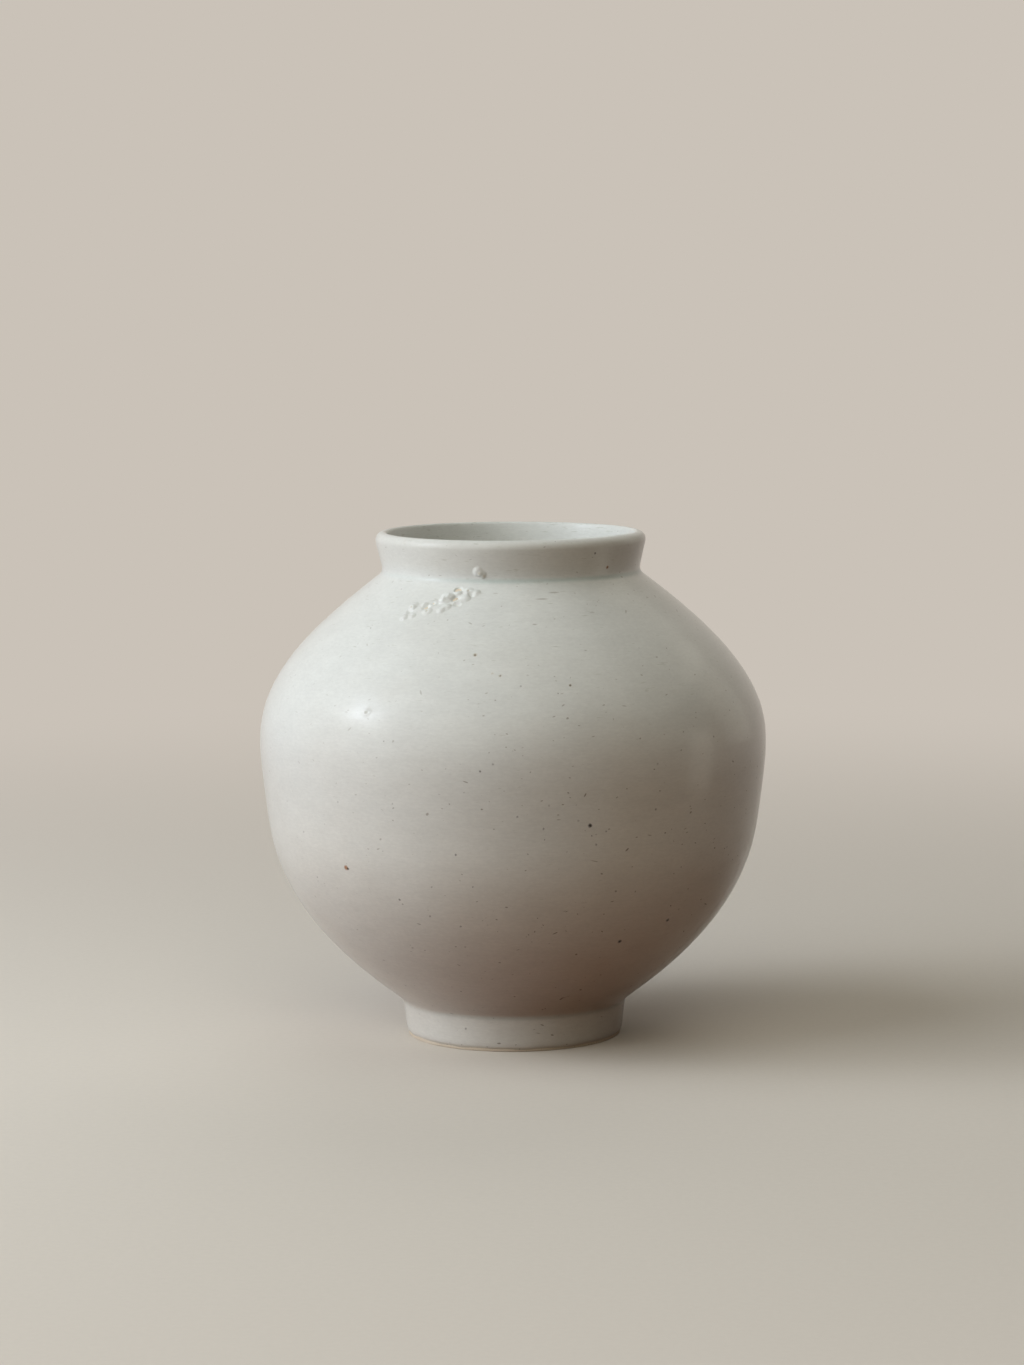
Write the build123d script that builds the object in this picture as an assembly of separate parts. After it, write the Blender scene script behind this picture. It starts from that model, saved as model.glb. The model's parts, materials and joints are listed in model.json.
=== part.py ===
from build123d import *
from math import asin, atan2, cos, degrees, hypot, radians, sin, tan
import os

# A white porcelain moon jar: two thrown bowls luted rim to rim, a foot ring below, a mouth collar above,
# and a coat of glaze outside, inside and under the foot. Millimetres, +Z up, the floor at Z 0.
# A lean is the angle of a wall from the vertical: positive where the wall opens outwards as it rises.

# Outside of the finished jar, glaze included
jar_height = 200.0
collar_height = 15.6
shoulder_rise = 67.4
belly_radius = 100.0
seam_land = 3.2
knee_drop = 33.3
knee_inset = 3.7
neck_radius = 50.4
collar_flare = 2.8
lip_thickness = 4.9
lip_round = 3.2
foot_radius = 44.3
foot_height = 14.0
foot_taper = 1.7

# Leans of the walls, in degrees
flank_lean = 49.5
knee_lean = 9.0
shoulder_lean = -52.1

# How far each stretch of the outline keeps the direction of its two ends before it bends
flank_foot_reach = 9.8
flank_knee_reach = 39.2
wall_knee_reach = 6.0
wall_seam_reach = 5.3
shoulder_seam_reach = 26.8
shoulder_neck_reach = 28.1
floor_reach = 22.0
floor_flank_reach = 7.0

# Clay, inside and under the foot
wall_thickness = 5.0
base_thickness = 8.0
floor_thickness = 7.5
throat_run = 5.0
foot_rim_width = 7.7
foot_edge = 0.4
disc_height = 5.2

# Slip in the three luted joints
foot_slip_thickness = 0.6
belly_slip_thickness = 0.6
neck_slip_thickness = 0.6
belly_groove_depth = 1.6
belly_bead = 0.8

# Glaze
glaze_thickness = 0.5
glaze_line = 1.0
foot_pool = 1.6
neck_pool = 2.3

# Margin of the cutting shapes past the clay
past = 20.0


def point(radius, height):
    return Vector(radius, 0, height)


def heading(lean):
    return point(sin(radians(lean)), cos(radians(lean)))


def sunk(place, lean, depth):
    """The place, moved square to a wall of that lean, into the clay from the outside."""
    return place - point(cos(radians(lean)), -sin(radians(lean))) * depth


def meet(place_a, lean_a, place_b, lean_b):
    """Where two straight walls cross."""
    a, b, gap = heading(lean_a), heading(lean_b), place_b - place_a
    return place_a + a * ((gap.X * b.Z - gap.Z * b.X) / (a.X * b.Z - a.Z * b.X))


def sweep_of(start, start_lean, start_reach, end, end_lean, end_reach, depth):
    """A round stretch of wall. Sunk below the surface it was drawn for, its reaches are shorter."""
    shorter = depth * radians(start_lean - end_lean) / 3
    start_handle = start + heading(start_lean) * (start_reach - shorter)
    end_handle = end - heading(end_lean) * (end_reach - shorter)
    return Bezier(start, start_handle, end_handle, end)


# Corners, leans and radii that follow from the sizes above
neck_height = jar_height - collar_height
seam_height = neck_height - shoulder_rise
foot_corner = point(foot_radius, foot_height)
flank_foot = foot_corner + heading(flank_lean) * foot_pool
knee = point(belly_radius - knee_inset, seam_height - knee_drop)
neck_corner = point(neck_radius, neck_height)
foot_lean = degrees(atan2(foot_taper, foot_height))

# The lip is rounded more outside than inside, with both rounds level at its crest
lip_crest = neck_corner + point(collar_flare - lip_round, collar_height)
lip_centre = lip_crest - point(0, lip_round)
neck_to_lip = lip_centre - neck_corner
collar_lean = degrees(
    atan2(neck_to_lip.X, neck_to_lip.Z) + asin(lip_round / hypot(neck_to_lip.X, neck_to_lip.Z))
)
collar_slant = sin(radians(collar_lean))
throat_round = (lip_thickness - lip_round * (1 + collar_slant)) / (1 - collar_slant)
throat_centre = lip_crest - point(0, throat_round)
through_wall = wall_thickness + 2 * glaze_thickness
through_base = base_thickness + 2 * glaze_thickness
inside_radius = belly_radius - through_wall
foot_well_radius = foot_radius - foot_taper - glaze_thickness - foot_rim_width


def foot_side(depth, height):
    """On the foot's outer side, at that height."""
    side = sunk(foot_corner, foot_lean, depth)
    return side + heading(foot_lean) * ((height - side.Z) / cos(radians(foot_lean)))


def foot_joint(depth):
    return meet(
        sunk(foot_corner, foot_lean, depth), foot_lean, sunk(foot_corner, flank_lean, depth), flank_lean
    )


def neck_joint(depth):
    return meet(
        sunk(neck_corner, shoulder_lean, depth),
        shoulder_lean,
        sunk(neck_corner, collar_lean, depth),
        collar_lean,
    )


# The seat of the lower bowl on its foot ring, and the well and floor that follow from it
foot_seat = foot_joint(glaze_thickness).Z
foot_well_depth = foot_seat - disc_height
floor_height = foot_well_depth + floor_thickness + glaze_thickness


def outside(depth, foot_start, pooled):
    """The outer outline from the foot to the crest of the lip. Glaze pools in the two inner corners."""
    flank_start = sunk(flank_foot, flank_lean, depth)
    knee_point = sunk(knee, knee_lean, depth)
    seam_low = point(belly_radius - depth, seam_height - seam_land / 2)
    seam_high = point(belly_radius - depth, seam_height + seam_land / 2)
    shoulder_end = sunk(neck_corner - heading(shoulder_lean) * neck_pool, shoulder_lean, depth)
    lip_side = sunk(lip_centre, collar_lean, depth - lip_round)
    if pooled:
        foot_pool_start = foot_corner - heading(foot_lean) * foot_pool
        neck_pool_end = neck_corner + heading(collar_lean) * neck_pool
        foot_bend = [
            Line(foot_start, foot_pool_start),
            TangentArc(foot_pool_start, flank_start, tangent=heading(foot_lean)),
        ]
        neck_bend = [
            TangentArc(shoulder_end, neck_pool_end, tangent=heading(shoulder_lean)),
            Line(neck_pool_end, lip_side),
        ]
    else:
        foot_bend = [Line(foot_start, foot_joint(depth)), Line(foot_joint(depth), flank_start)]
        neck_bend = [Line(shoulder_end, neck_joint(depth)), Line(neck_joint(depth), lip_side)]
    return [
        *foot_bend,
        sweep_of(flank_start, flank_lean, flank_foot_reach, knee_point, knee_lean, flank_knee_reach, depth),
        sweep_of(knee_point, knee_lean, wall_knee_reach, seam_low, 0, wall_seam_reach, depth),
        Line(seam_low, seam_high),
        sweep_of(
            seam_high, 0, shoulder_seam_reach, shoulder_end, shoulder_lean, shoulder_neck_reach, depth
        ),
        *neck_bend,
        TangentArc(lip_side, lip_crest - point(0, depth), tangent=heading(collar_lean)),
    ]


def inside(depth):
    """The inner outline from the crest of the lip to the middle of the floor."""
    radius = inside_radius + depth
    from_outside = through_wall - depth
    lip_side = sunk(throat_centre, collar_lean, throat_round - depth)
    throat = meet(
        sunk(neck_corner, shoulder_lean, from_outside),
        shoulder_lean,
        sunk(neck_corner, collar_lean, lip_thickness - depth),
        collar_lean,
    )
    run = throat_run - depth * tan(radians(collar_lean - shoulder_lean) / 2)
    throat_top = throat + heading(collar_lean) * run
    throat_foot = throat - heading(shoulder_lean) * run
    seam_high = point(radius, seam_height + seam_land / 2)
    seam_low = point(radius, seam_height - seam_land / 2)
    knee_point = sunk(knee, knee_lean, from_outside)
    flank_start = sunk(flank_foot, flank_lean, through_base - depth)
    floor_middle = point(0, floor_height - depth)
    return [
        TangentArc(lip_side, lip_crest - point(0, depth), tangent=heading(collar_lean)),
        Line(lip_side, throat_top),
        TangentArc(throat_foot, throat_top, tangent=heading(shoulder_lean)),
        sweep_of(
            seam_high, 0, shoulder_seam_reach, throat_foot, shoulder_lean, shoulder_neck_reach, from_outside
        ),
        ThreePointArc(seam_high, point(radius - belly_bead, seam_height), seam_low),
        sweep_of(knee_point, knee_lean, wall_knee_reach, seam_low, 0, wall_seam_reach, from_outside),
        sweep_of(
            flank_start, flank_lean, flank_foot_reach, knee_point, knee_lean, flank_knee_reach, from_outside
        ),
        sweep_of(floor_middle, 90, floor_reach, flank_start, flank_lean, floor_flank_reach, -depth),
    ]


def region(*corners):
    """A flat cutting shape in the plane of the section."""
    return make_face(Polyline(*[point(*corner) for corner in corners], close=True))


def turned(face):
    """A piece thrown on the wheel: its section, turned about the jar's axis."""
    return revolve(face, Axis.Z)


def clay_section():
    """All the fired clay and slip as one section. The bottom edges of the foot are sponged round."""
    side_bottom = foot_side(glaze_thickness, 0)
    well_bottom = point(foot_well_radius, 0)
    well_top = point(foot_well_radius, foot_well_depth)
    base_middle = point(0, foot_well_depth)
    floor_middle = point(0, floor_height - glaze_thickness)
    whole = make_face(
        [
            *outside(glaze_thickness, side_bottom, pooled=False),
            *inside(glaze_thickness),
            Line(floor_middle, base_middle),
            Line(base_middle, well_top),
            Line(well_top, well_bottom),
            Line(well_bottom, side_bottom),
        ]
    )
    return fillet(whole.vertices().group_by(Axis.Z)[0], foot_edge)


clay = clay_section()
far = belly_radius + past

# The foot ring is luted round a low disc under the lower bowl, with slip on the seat and round the disc.
disc_radius = foot_well_radius - foot_slip_thickness
ring_shape = region(
    (foot_well_radius, -past),
    (far, -past),
    (far, foot_seat - foot_slip_thickness),
    (foot_well_radius, foot_seat - foot_slip_thickness),
)
foot_shape = region((disc_radius, -past), (far, -past), (far, foot_seat), (disc_radius, foot_seat))

# The two bowls meet at the belly: a ridge on the upper rim sits in a groove of the lower rim, with slip
# between. Slip that was squeezed out stands as a bead on the inside of the wall.
rim_outer = belly_radius - glaze_thickness
rim_inner = inside_radius + glaze_thickness
rim_middle = (rim_outer + rim_inner) / 2
lower_rim = seam_height - belly_slip_thickness / 2
upper_rim = seam_height + belly_slip_thickness / 2
lower_shape = region(
    (0, -past),
    (far, -past),
    (far, lower_rim),
    (rim_outer, lower_rim),
    (rim_middle, lower_rim - belly_groove_depth),
    (rim_inner, lower_rim),
    (rim_inner, seam_height - seam_land / 2),
    (0, seam_height - seam_land / 2),
)
upper_shape = region(
    (0, jar_height + past),
    (far, jar_height + past),
    (far, upper_rim),
    (rim_outer, upper_rim),
    (rim_middle, upper_rim - belly_groove_depth),
    (rim_inner, upper_rim),
    (rim_inner, seam_height + seam_land / 2),
    (0, seam_height + seam_land / 2),
)

# The collar stands on the cut opening of the upper bowl, on a flat ring of slip.
neck_seat = neck_joint(glaze_thickness).Z
collar_foot = neck_seat + neck_slip_thickness / 2
bowl_top = neck_seat - neck_slip_thickness / 2
collar_shape = region(
    (0, jar_height + past), (far, jar_height + past), (far, collar_foot), (0, collar_foot)
)
neck_shape = region((0, jar_height + past), (far, jar_height + past), (far, bowl_top), (0, bowl_top))


def foot_ring():
    return turned(clay & ring_shape)


def foot_slip():
    return turned((clay & foot_shape) - ring_shape)


def lower_bowl():
    return turned((clay & lower_shape) - foot_shape)


def belly_slip():
    return turned(clay - lower_shape - upper_shape)


def upper_bowl():
    return turned((clay & upper_shape) - neck_shape)


def neck_slip():
    return turned((clay & neck_shape) - collar_shape)


def neck_collar():
    return turned(clay & collar_shape)


def outer_glaze():
    """From the wiped line above the floor to the crest of the lip."""
    surface_start = foot_side(0, glaze_line)
    clay_start = foot_side(glaze_thickness, glaze_line)
    clay_crest = lip_crest - point(0, glaze_thickness)
    return turned(
        make_face(
            [
                *outside(0, surface_start, pooled=True),
                *outside(glaze_thickness, clay_start, pooled=False),
                Line(surface_start, clay_start),
                Line(lip_crest, clay_crest),
            ]
        )
    )


def inner_glaze():
    """From the crest of the lip down to the floor."""
    floor_middle = point(0, floor_height)
    return turned(
        make_face(
            [
                *inside(0),
                *inside(glaze_thickness),
                Line(lip_crest, lip_crest - point(0, glaze_thickness)),
                Line(floor_middle, floor_middle - point(0, glaze_thickness)),
            ]
        )
    )


def foot_well_glaze():
    """Lines the hollow under the foot, down to its own wiped line."""
    inner_radius = foot_well_radius - glaze_thickness
    surface_height = foot_well_depth - glaze_thickness
    return turned(
        region(
            (0, foot_well_depth),
            (foot_well_radius, foot_well_depth),
            (foot_well_radius, glaze_line),
            (inner_radius, glaze_line),
            (inner_radius, surface_height),
            (0, surface_height),
        )
    )


pieces = [
    foot_ring,
    foot_slip,
    lower_bowl,
    belly_slip,
    upper_bowl,
    neck_slip,
    neck_collar,
    outer_glaze,
    inner_glaze,
    foot_well_glaze,
]

os.makedirs("parts", exist_ok=True)
for piece in pieces:
    export_step(piece(), f"parts/{piece.__name__}.step")
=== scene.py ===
import bmesh
import bpy
import json
import math
import random
from mathutils import Matrix, Vector
from mathutils.kdtree import KDTree


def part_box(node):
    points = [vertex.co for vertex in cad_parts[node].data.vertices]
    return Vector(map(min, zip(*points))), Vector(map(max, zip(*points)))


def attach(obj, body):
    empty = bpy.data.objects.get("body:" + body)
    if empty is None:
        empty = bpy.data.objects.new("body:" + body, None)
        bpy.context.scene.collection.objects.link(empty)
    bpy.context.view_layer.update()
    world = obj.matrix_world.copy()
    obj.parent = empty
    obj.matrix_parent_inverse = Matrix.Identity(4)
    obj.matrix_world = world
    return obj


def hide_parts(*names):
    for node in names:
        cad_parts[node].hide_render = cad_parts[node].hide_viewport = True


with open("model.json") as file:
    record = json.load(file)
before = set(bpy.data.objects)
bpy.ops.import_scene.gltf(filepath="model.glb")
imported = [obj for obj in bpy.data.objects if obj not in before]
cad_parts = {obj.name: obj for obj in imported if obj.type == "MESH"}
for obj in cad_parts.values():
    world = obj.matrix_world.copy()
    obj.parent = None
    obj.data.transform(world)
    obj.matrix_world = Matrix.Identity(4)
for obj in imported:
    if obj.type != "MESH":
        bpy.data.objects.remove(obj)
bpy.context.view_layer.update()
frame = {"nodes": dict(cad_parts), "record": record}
nodes = frame["nodes"]
mm = 0.001
print("frame loaded,", len(nodes), "CAD nodes")


def linear(hexText):  # sRGB hex to the linear colour that shaders take
    parts = [int(hexText[i:i + 2], 16) / 255 for i in (1, 3, 5)]
    return [c / 12.92 if c < 0.04045 else ((c + 0.055) / 1.055) ** 2.4 for c in parts] + [1]


def addNode(material, kind, sockets=None, **settings):  # a shader node with its settings, values and links
    tree = material.node_tree
    node = tree.nodes.new("ShaderNode" + kind)
    for name, value in settings.items():
        setattr(node, name, value)
    for key, value in (sockets or {}).items():
        if isinstance(value, bpy.types.NodeSocket):
            tree.links.new(value, node.inputs[key])
        else:
            node.inputs[key].default_value = value
    return node


def span(low, high, start, end):  # from this range of a value to that one
    return {"From Min": low, "From Max": high, "To Min": start, "To Max": end}


def stretch(long, tall):  # scale of a pattern that is so many mm long all round, and so many mm high
    return 1 / (long * mm), 1 / (long * mm), 1 / (tall * mm)


def emptied(holder):  # a material or world, ready for its own nodes
    holder.use_nodes = True
    holder.node_tree.nodes.clear()
    return holder


def seenIn(holder):  # 1 for what is looked at, straight, mirrored or through glass, 0 for light thrown on
    rays = addNode(holder, "LightPath").outputs
    seen = addNode(holder, "Math", {0: rays["Is Camera Ray"], 1: rays["Is Glossy Ray"]}, operation="MAXIMUM")
    seen = addNode(holder, "Math", {0: seen.outputs[0], 1: rays["Is Transmission Ray"]}, operation="MAXIMUM")
    return seen.outputs[0]


def pickOnly(piece):
    bpy.ops.object.select_all(action="DESELECT")
    piece.select_set(True)
    bpy.context.view_layer.objects.active = piece


def ringsOf(nodeName, shows, top=1):
    # (radius, height) of the rings on one side of a turned CAD piece, low to high, without those at the axis
    rings = set()
    mesh = nodes[nodeName].data
    for face in mesh.polygons:
        outwards = Vector((face.center.x, face.center.y, 0)).normalized()
        if shows(face.normal.dot(outwards), face.normal.z):
            for corner in face.vertices:
                at = mesh.vertices[corner].co
                rings.add((round(math.hypot(at.x, at.y), 6), round(at.z, 6)))
    return sorted((ring for ring in rings if ring[0] > 3 * mm and ring[1] < top), key=lambda ring: ring[1])


def thinned(rings, step, turn):  # keeps a ring at every step along the outline, and sooner where it turns
    kept = [rings[0]]
    for ring, after in zip(rings[1:], rings[2:]):
        come = Vector(ring) - Vector(kept[-1])
        go = Vector(after) - Vector(ring)
        if come.length > step or come.length > 0.5 * mm and come.angle(go, 0) > turn:
            kept.append(ring)
    if (Vector(rings[-1]) - Vector(kept[-1])).length < 0.3 * mm:  # the last ring stays, not one beside it
        kept.pop()
    return kept + [rings[-1]]


def radiusAt(rings, height):  # radius of an outline at a height
    for low, high in zip(rings, rings[1:]):
        if low[1] <= height <= high[1]:
            return low[0] + (high[0] - low[0]) * (height - low[1]) / max(high[1] - low[1], 1e-9)
    return rings[-1][0] if height > rings[-1][1] else rings[0][0]


def turnOnWheel(name, front, back, segments, smoothness):
    # the side that shows is a smooth curve through its rings, the side on the clay is straight runs
    bpy.ops.object.select_all(action="DESELECT")
    bpy.ops.curve.primitive_bezier_curve_add()
    piece = bpy.context.object
    piece.name = name
    piece.data.dimensions = "3D"
    outline = piece.data.splines[0]
    outline.bezier_points.add(len(front) - 2)
    outline.resolution_u = smoothness
    for knot, (radius, height) in zip(outline.bezier_points, front):
        knot.co = (radius, 0, height)
        knot.handle_left_type = "AUTO"
        knot.handle_right_type = "AUTO"
    bpy.ops.object.convert(target="MESH")
    piece.data.name = name
    bpy.ops.object.mode_set(mode="EDIT")
    bpy.context.tool_settings.mesh_select_mode = (True, False, False)
    bpy.ops.mesh.select_all(action="DESELECT")
    mesh = bmesh.from_edit_mesh(piece.data)
    ends = [vert for vert in mesh.verts if len(vert.link_edges) == 1]
    at = Vector(front[-1])
    min(ends, key=lambda vert: (vert.co - Vector((at.x, 0, at.y))).length).select_set(True)
    for ring in back:
        step = Vector(ring) - at
        bpy.ops.mesh.extrude_region_move(TRANSFORM_OT_translate={"value": (step.x, 0, step.y)})
        at = Vector(ring)
    if front[0][0] > mm:  # a ring of glaze closes on itself, a bowl of it ends on the axis
        mesh = bmesh.from_edit_mesh(piece.data)
        for vert in mesh.verts:
            vert.select_set(len(vert.link_edges) == 1)
        bpy.ops.mesh.edge_face_add()
    bpy.ops.object.mode_set(mode="OBJECT")
    wheel = piece.modifiers.new("wheel", "SCREW")
    wheel.axis = "Z"
    wheel.steps = segments
    wheel.render_steps = segments
    wheel.use_merge_vertices = True
    wheel.merge_threshold = 0.01 * mm
    bpy.ops.object.modifier_apply(modifier="wheel")
    bpy.ops.object.mode_set(mode="EDIT")
    bpy.ops.mesh.select_all(action="SELECT")
    bpy.ops.mesh.remove_doubles(threshold=0.001 * mm)
    bpy.ops.mesh.normals_make_consistent(inside=False)
    bpy.ops.mesh.select_all(action="DESELECT")
    bpy.ops.object.mode_set(mode="OBJECT")
    return piece


def spotOn(rings, around, height):  # a point of the outline: degrees round from the front, and mm high
    radius = radiusAt(rings, height * mm)
    angle = math.radians(around)
    return Vector((radius * math.sin(angle), -radius * math.cos(angle), height * mm))


def finderFor(piece):  # finds the vertices of a piece in edit mode by their place, with the way each faces
    mesh = bmesh.from_edit_mesh(piece.data)
    finder = KDTree(len(mesh.verts))
    for index, vert in enumerate(mesh.verts):
        finder.insert(vert.co, index)
    finder.balance()
    return finder, [vert.normal.copy() for vert in mesh.verts]


def pressSkin(piece, skin, spot, move, size, falloff="SMOOTH"):
    # moves the skin at a spot the way it faced before any mark, or by a vector, fading out over the size
    finder, facing = skin
    mesh = bmesh.from_edit_mesh(piece.data)
    mesh.verts.ensure_lookup_table()
    bpy.ops.mesh.select_all(action="DESELECT")
    index = finder.find(spot)[1]
    mesh.verts[index].select_set(True)
    way = move if isinstance(move, Vector) else facing[index] * move
    bpy.ops.transform.translate(value=way, use_proportional_edit=True,
                                proportional_edit_falloff=falloff, proportional_size=size)


def refineSkin(piece, spots, cuts):  # more mesh within a size of each spot, for marks finer than the grid
    bpy.ops.mesh.select_all(action="DESELECT")
    mesh = bmesh.from_edit_mesh(piece.data)
    for face in mesh.faces:
        middle = face.calc_center_median()
        face.select_set(any((middle - spot).length < size for spot, size in spots))
    bpy.ops.mesh.subdivide(number_cuts=cuts, smoothness=1, ngon=False)
    bpy.ops.mesh.select_all(action="DESELECT")


def paintSkin(piece, skin, spot, amount, size):  # thins the coat at a spot, fading out over the size
    mesh = bmesh.from_edit_mesh(piece.data)
    mesh.verts.ensure_lookup_table()
    layer = mesh.verts.layers.float["thinCoat"]
    for place, index, distance in skin[0].find_range(spot, size):
        vert = mesh.verts[index]
        vert[layer] = max(vert[layer], amount * min(1, 1.6 * (1 - distance / size)))


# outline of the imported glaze: from the wiped edge at the foot to the middle of the lip, and the inside
aslant = 0.02  # a face on the side of the jar looks at least this far outwards or inwards
level = 0.9    # and a face of its floor this far up or down
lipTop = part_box("outer_glaze")[1].z
belowLip = lipTop - 0.4 * mm
outsideRings = ringsOf("outer_glaze", lambda outwards, up: outwards > aslant)
outsideClay = ringsOf("outer_glaze", lambda outwards, up: outwards < -aslant, belowLip)
insideRings = ringsOf("inner_glaze", lambda outwards, up: outwards < -aslant or up > level)
insideClay = ringsOf("inner_glaze", lambda outwards, up: outwards > aslant or up < -level, belowLip)
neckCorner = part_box("neck_collar")[0].z
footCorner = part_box("foot_ring")[1].z
collarMiddle = lipTop - 6 * mm
lipHalf = (radiusAt(outsideRings, collarMiddle) - radiusAt(insideRings, collarMiddle)) / 2
print("outline read,", len(outsideRings), "rings outside,", len(insideRings), "inside")

outerGlaze = {
    "segments": 240,
    "smoothness": 4,          # points between two rings of the outline
    "step": 4.5 * mm,         # rings kept along the outline
    "turn": math.radians(7),
    "clayStep": 12 * mm,      # rings kept on the side that lies on the clay
    "clayTurn": 0.35,
    "tuck": 176 * mm,         # the coat runs over the lip and ends here, out of sight under the shoulder
    "nose": 2.2 * mm,         # the coat thins out over this height to the line where it was wiped off
    "noseSunk": 0.05 * mm,    # its edge starts this far inside the clay
    "noseRound": (0.25 * mm, 0.4 * mm),  # and is this far out and up at its next ring
    "wander": 0.35,           # mm that this edge strays up and down
    "wanderReach": (5, 9),    # mm to either side
    "waver": 0.3 * mm,        # slow unevenness of the thrown wall
    "waverSize": 70 * mm,
    "ringHeight": 0.022 * mm,  # throwing rings, felt more than seen
    "ringsFrom": 24 * mm,
    "ringsTo": 174 * mm,
    "lean": 0.30,             # mm that the mouth leans to the left
    "leanReach": 22 * mm,
    "lipWander": 0.07,        # mm that the lip rises and falls
    "lipReach": (24, 40),     # mm to either side
    "lipBand": 3 * mm,        # height of the lip that leans as one
    "seed": 4,
}

edgeLow = outsideRings[0][1]
noseTop = edgeLow + outerGlaze["nose"]
noseOut = radiusAt(outsideRings, noseTop)
noseIn = radiusAt(outsideClay, edgeLow)
noseStep, noseRise = outerGlaze["noseRound"]
wallRings = [ring for ring in outsideRings if ring[1] > noseTop]
throatRings = [ring for ring in insideRings if ring[1] > outerGlaze["tuck"]]
throatClay = [ring for ring in insideClay if ring[1] > outerGlaze["tuck"]]
front = [(noseIn - outerGlaze["noseSunk"], edgeLow), (noseIn + noseStep, edgeLow + noseRise)]
front.append((noseOut, noseTop))
dice = random.Random(outerGlaze["seed"])
for radius, height in thinned(wallRings, outerGlaze["step"], outerGlaze["turn"]):
    ridge = 0
    if outerGlaze["ringsFrom"] < height < outerGlaze["ringsTo"]:
        ridge = dice.uniform(-1, 1) * outerGlaze["ringHeight"]
    front.append((radius + ridge, height))
front += thinned(throatRings, outerGlaze["step"], outerGlaze["turn"])[-2::-1]
back = thinned(throatClay, outerGlaze["clayStep"], outerGlaze["clayTurn"])
back += thinned(outsideClay, outerGlaze["clayStep"], outerGlaze["clayTurn"])[-2:0:-1]
glazeOutside = turnOnWheel("glazeOutside", front, back, outerGlaze["segments"], outerGlaze["smoothness"])

waver = glazeOutside.modifiers.new("waver", "DISPLACE")
waver.texture = bpy.data.textures.new("thrownWall", "CLOUDS")
waver.texture.noise_scale = outerGlaze["waverSize"]
waver.texture.noise_depth = 1
waver.strength = outerGlaze["waver"]
waver.mid_level = 0.5
pickOnly(glazeOutside)
bpy.ops.object.modifier_apply(modifier="waver")
print("outer glaze turned,", len(glazeOutside.data.polygons), "faces")

# places on the jar are degrees round from the front to the right, and mm above the floor
handMarks = [  # slow dents and swellings left by hand and kiln: place, mm in or out, mm across
    {"at": (82, 158), "move": -0.30, "size": 62},
    {"at": (-78, 160), "move": 0.18, "size": 45},
    {"at": (-88, 112), "move": -0.20, "size": 50},
    {"at": (88, 112), "move": 0.16, "size": 50},
    {"at": (168, 128), "move": -0.30, "size": 58},
    {"at": (-150, 74), "move": 0.25, "size": 52},
    {"at": (-33, 141), "move": -0.07, "size": 13},
    {"at": (-43, 134), "move": 0.05, "size": 11},
    {"at": (-25, 133), "move": 0.05, "size": 12},
]
blisterBand = {  # glaze that bubbled in the kiln, in a band that climbs the shoulder to the neck
    "seed": 31,
    "count": 13,
    "tries": 4000,
    "low": (-38.0, 173.0),
    "high": (-16.5, 179.4),
    "spread": 2.6,            # mm to either side of the band's middle
    "apart": 3.3,             # mm between the middles of two blisters
    "lobes": (1, 3),          # bubbles that ran together in one blister
    "slide": 1.2,             # from one lobe to the next, in lobe sizes
    "size": (1.5, 2.3),       # mm, radius of a lobe
    "rise": (0.45, 0.75),     # mm
    "burst": 0.25,            # share that broke and left a hollow
    "hollowDepth": 0.45,      # mm
    "hollowSize": 0.8,        # mm
    "bare": (0.3, 0.6),       # how far the clay shows in a hollow
    "bareSize": 0.6,          # mm
    "fineMesh": 4.6,          # mm round each blister
}
neckBead = {  # a drop of glaze that ran together on the collar
    "drops": [  # place, mm across, mm out
        {"at": (-14.7, 188.2), "size": 2.1, "rise": 0.85},
        {"at": (-12.8, 187.0), "size": 1.8, "rise": 0.60},
    ],
    "bare": 0.5,              # how far the clay shows on its lower right
    "bareAt": (0.8, 0, -0.5),  # mm from its middle
    "bareSize": 0.8,          # mm
    "fineMesh": 3.4,          # mm round each drop
}
pits = [  # pinholes with a raised edge: place, mm radius, mm rise and depth, how far the clay shows
    {"at": (-35.2, 137.6), "size": 2.2, "rise": 0.20, "depth": 0.30, "bare": 0.1},
    {"at": (-10.0, 159.2), "size": 2.0, "rise": 0.16, "depth": 0.40, "bare": 0.7},
    {"at": (-3.0, 152.1), "size": 1.4, "rise": 0.14, "depth": 0.34, "bare": 0.6},
    {"at": (-5.0, 152.9), "size": 1.1, "rise": 0.10, "depth": 0.24, "bare": 0.5},
    {"at": (14.0, 148.4), "size": 1.5, "rise": 0.18, "depth": 0.40, "bare": 0.7},
    {"at": (112, 141), "size": 1.4, "rise": 0.14, "depth": 0.32, "bare": 0.6},
    {"at": (-128, 96), "size": 1.3, "rise": 0.12, "depth": 0.30, "bare": 0.6},
    {"at": (176, 163), "size": 1.5, "rise": 0.15, "depth": 0.34, "bare": 0.6},
]
pitShape = {"hole": 0.42, "bare": 0.5, "fineMesh": 2.6}  # shares of a pit's radius, and mm round it
fineCuts = 4  # cuts across a face where the mesh is finer
lipSpots = {  # worn places on the edge of the lip
    "count": 44,
    "below": (1.2, 3.8),      # mm
    "size": (0.5, 1.0),       # mm
    "bare": (0.1, 0.35),
}
smear = {  # a finger's drag beside the first pit
    "from": (-33.6, 139.6),
    "to": (-24.0, 147.6),
    "steps": 11,
    "size": 3.2,              # mm
    "depth": 0.10,            # mm
}
thinGlaze = {  # how far the clay shows through, and over what height
    "collar": 0.12,           # the glaze ran off the collar
    "collarFrom": 2 * mm,     # above the corner at the neck
    "collarRun": 3 * mm,
    "lip": 0.10,              # less than that again, where it gathered on the lip
    "lipRun": 1.5 * mm,
    "foot": 0.6,              # it was wiped thin at the edge of the foot
    "footRun": 1.3 * mm,
}

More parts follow.
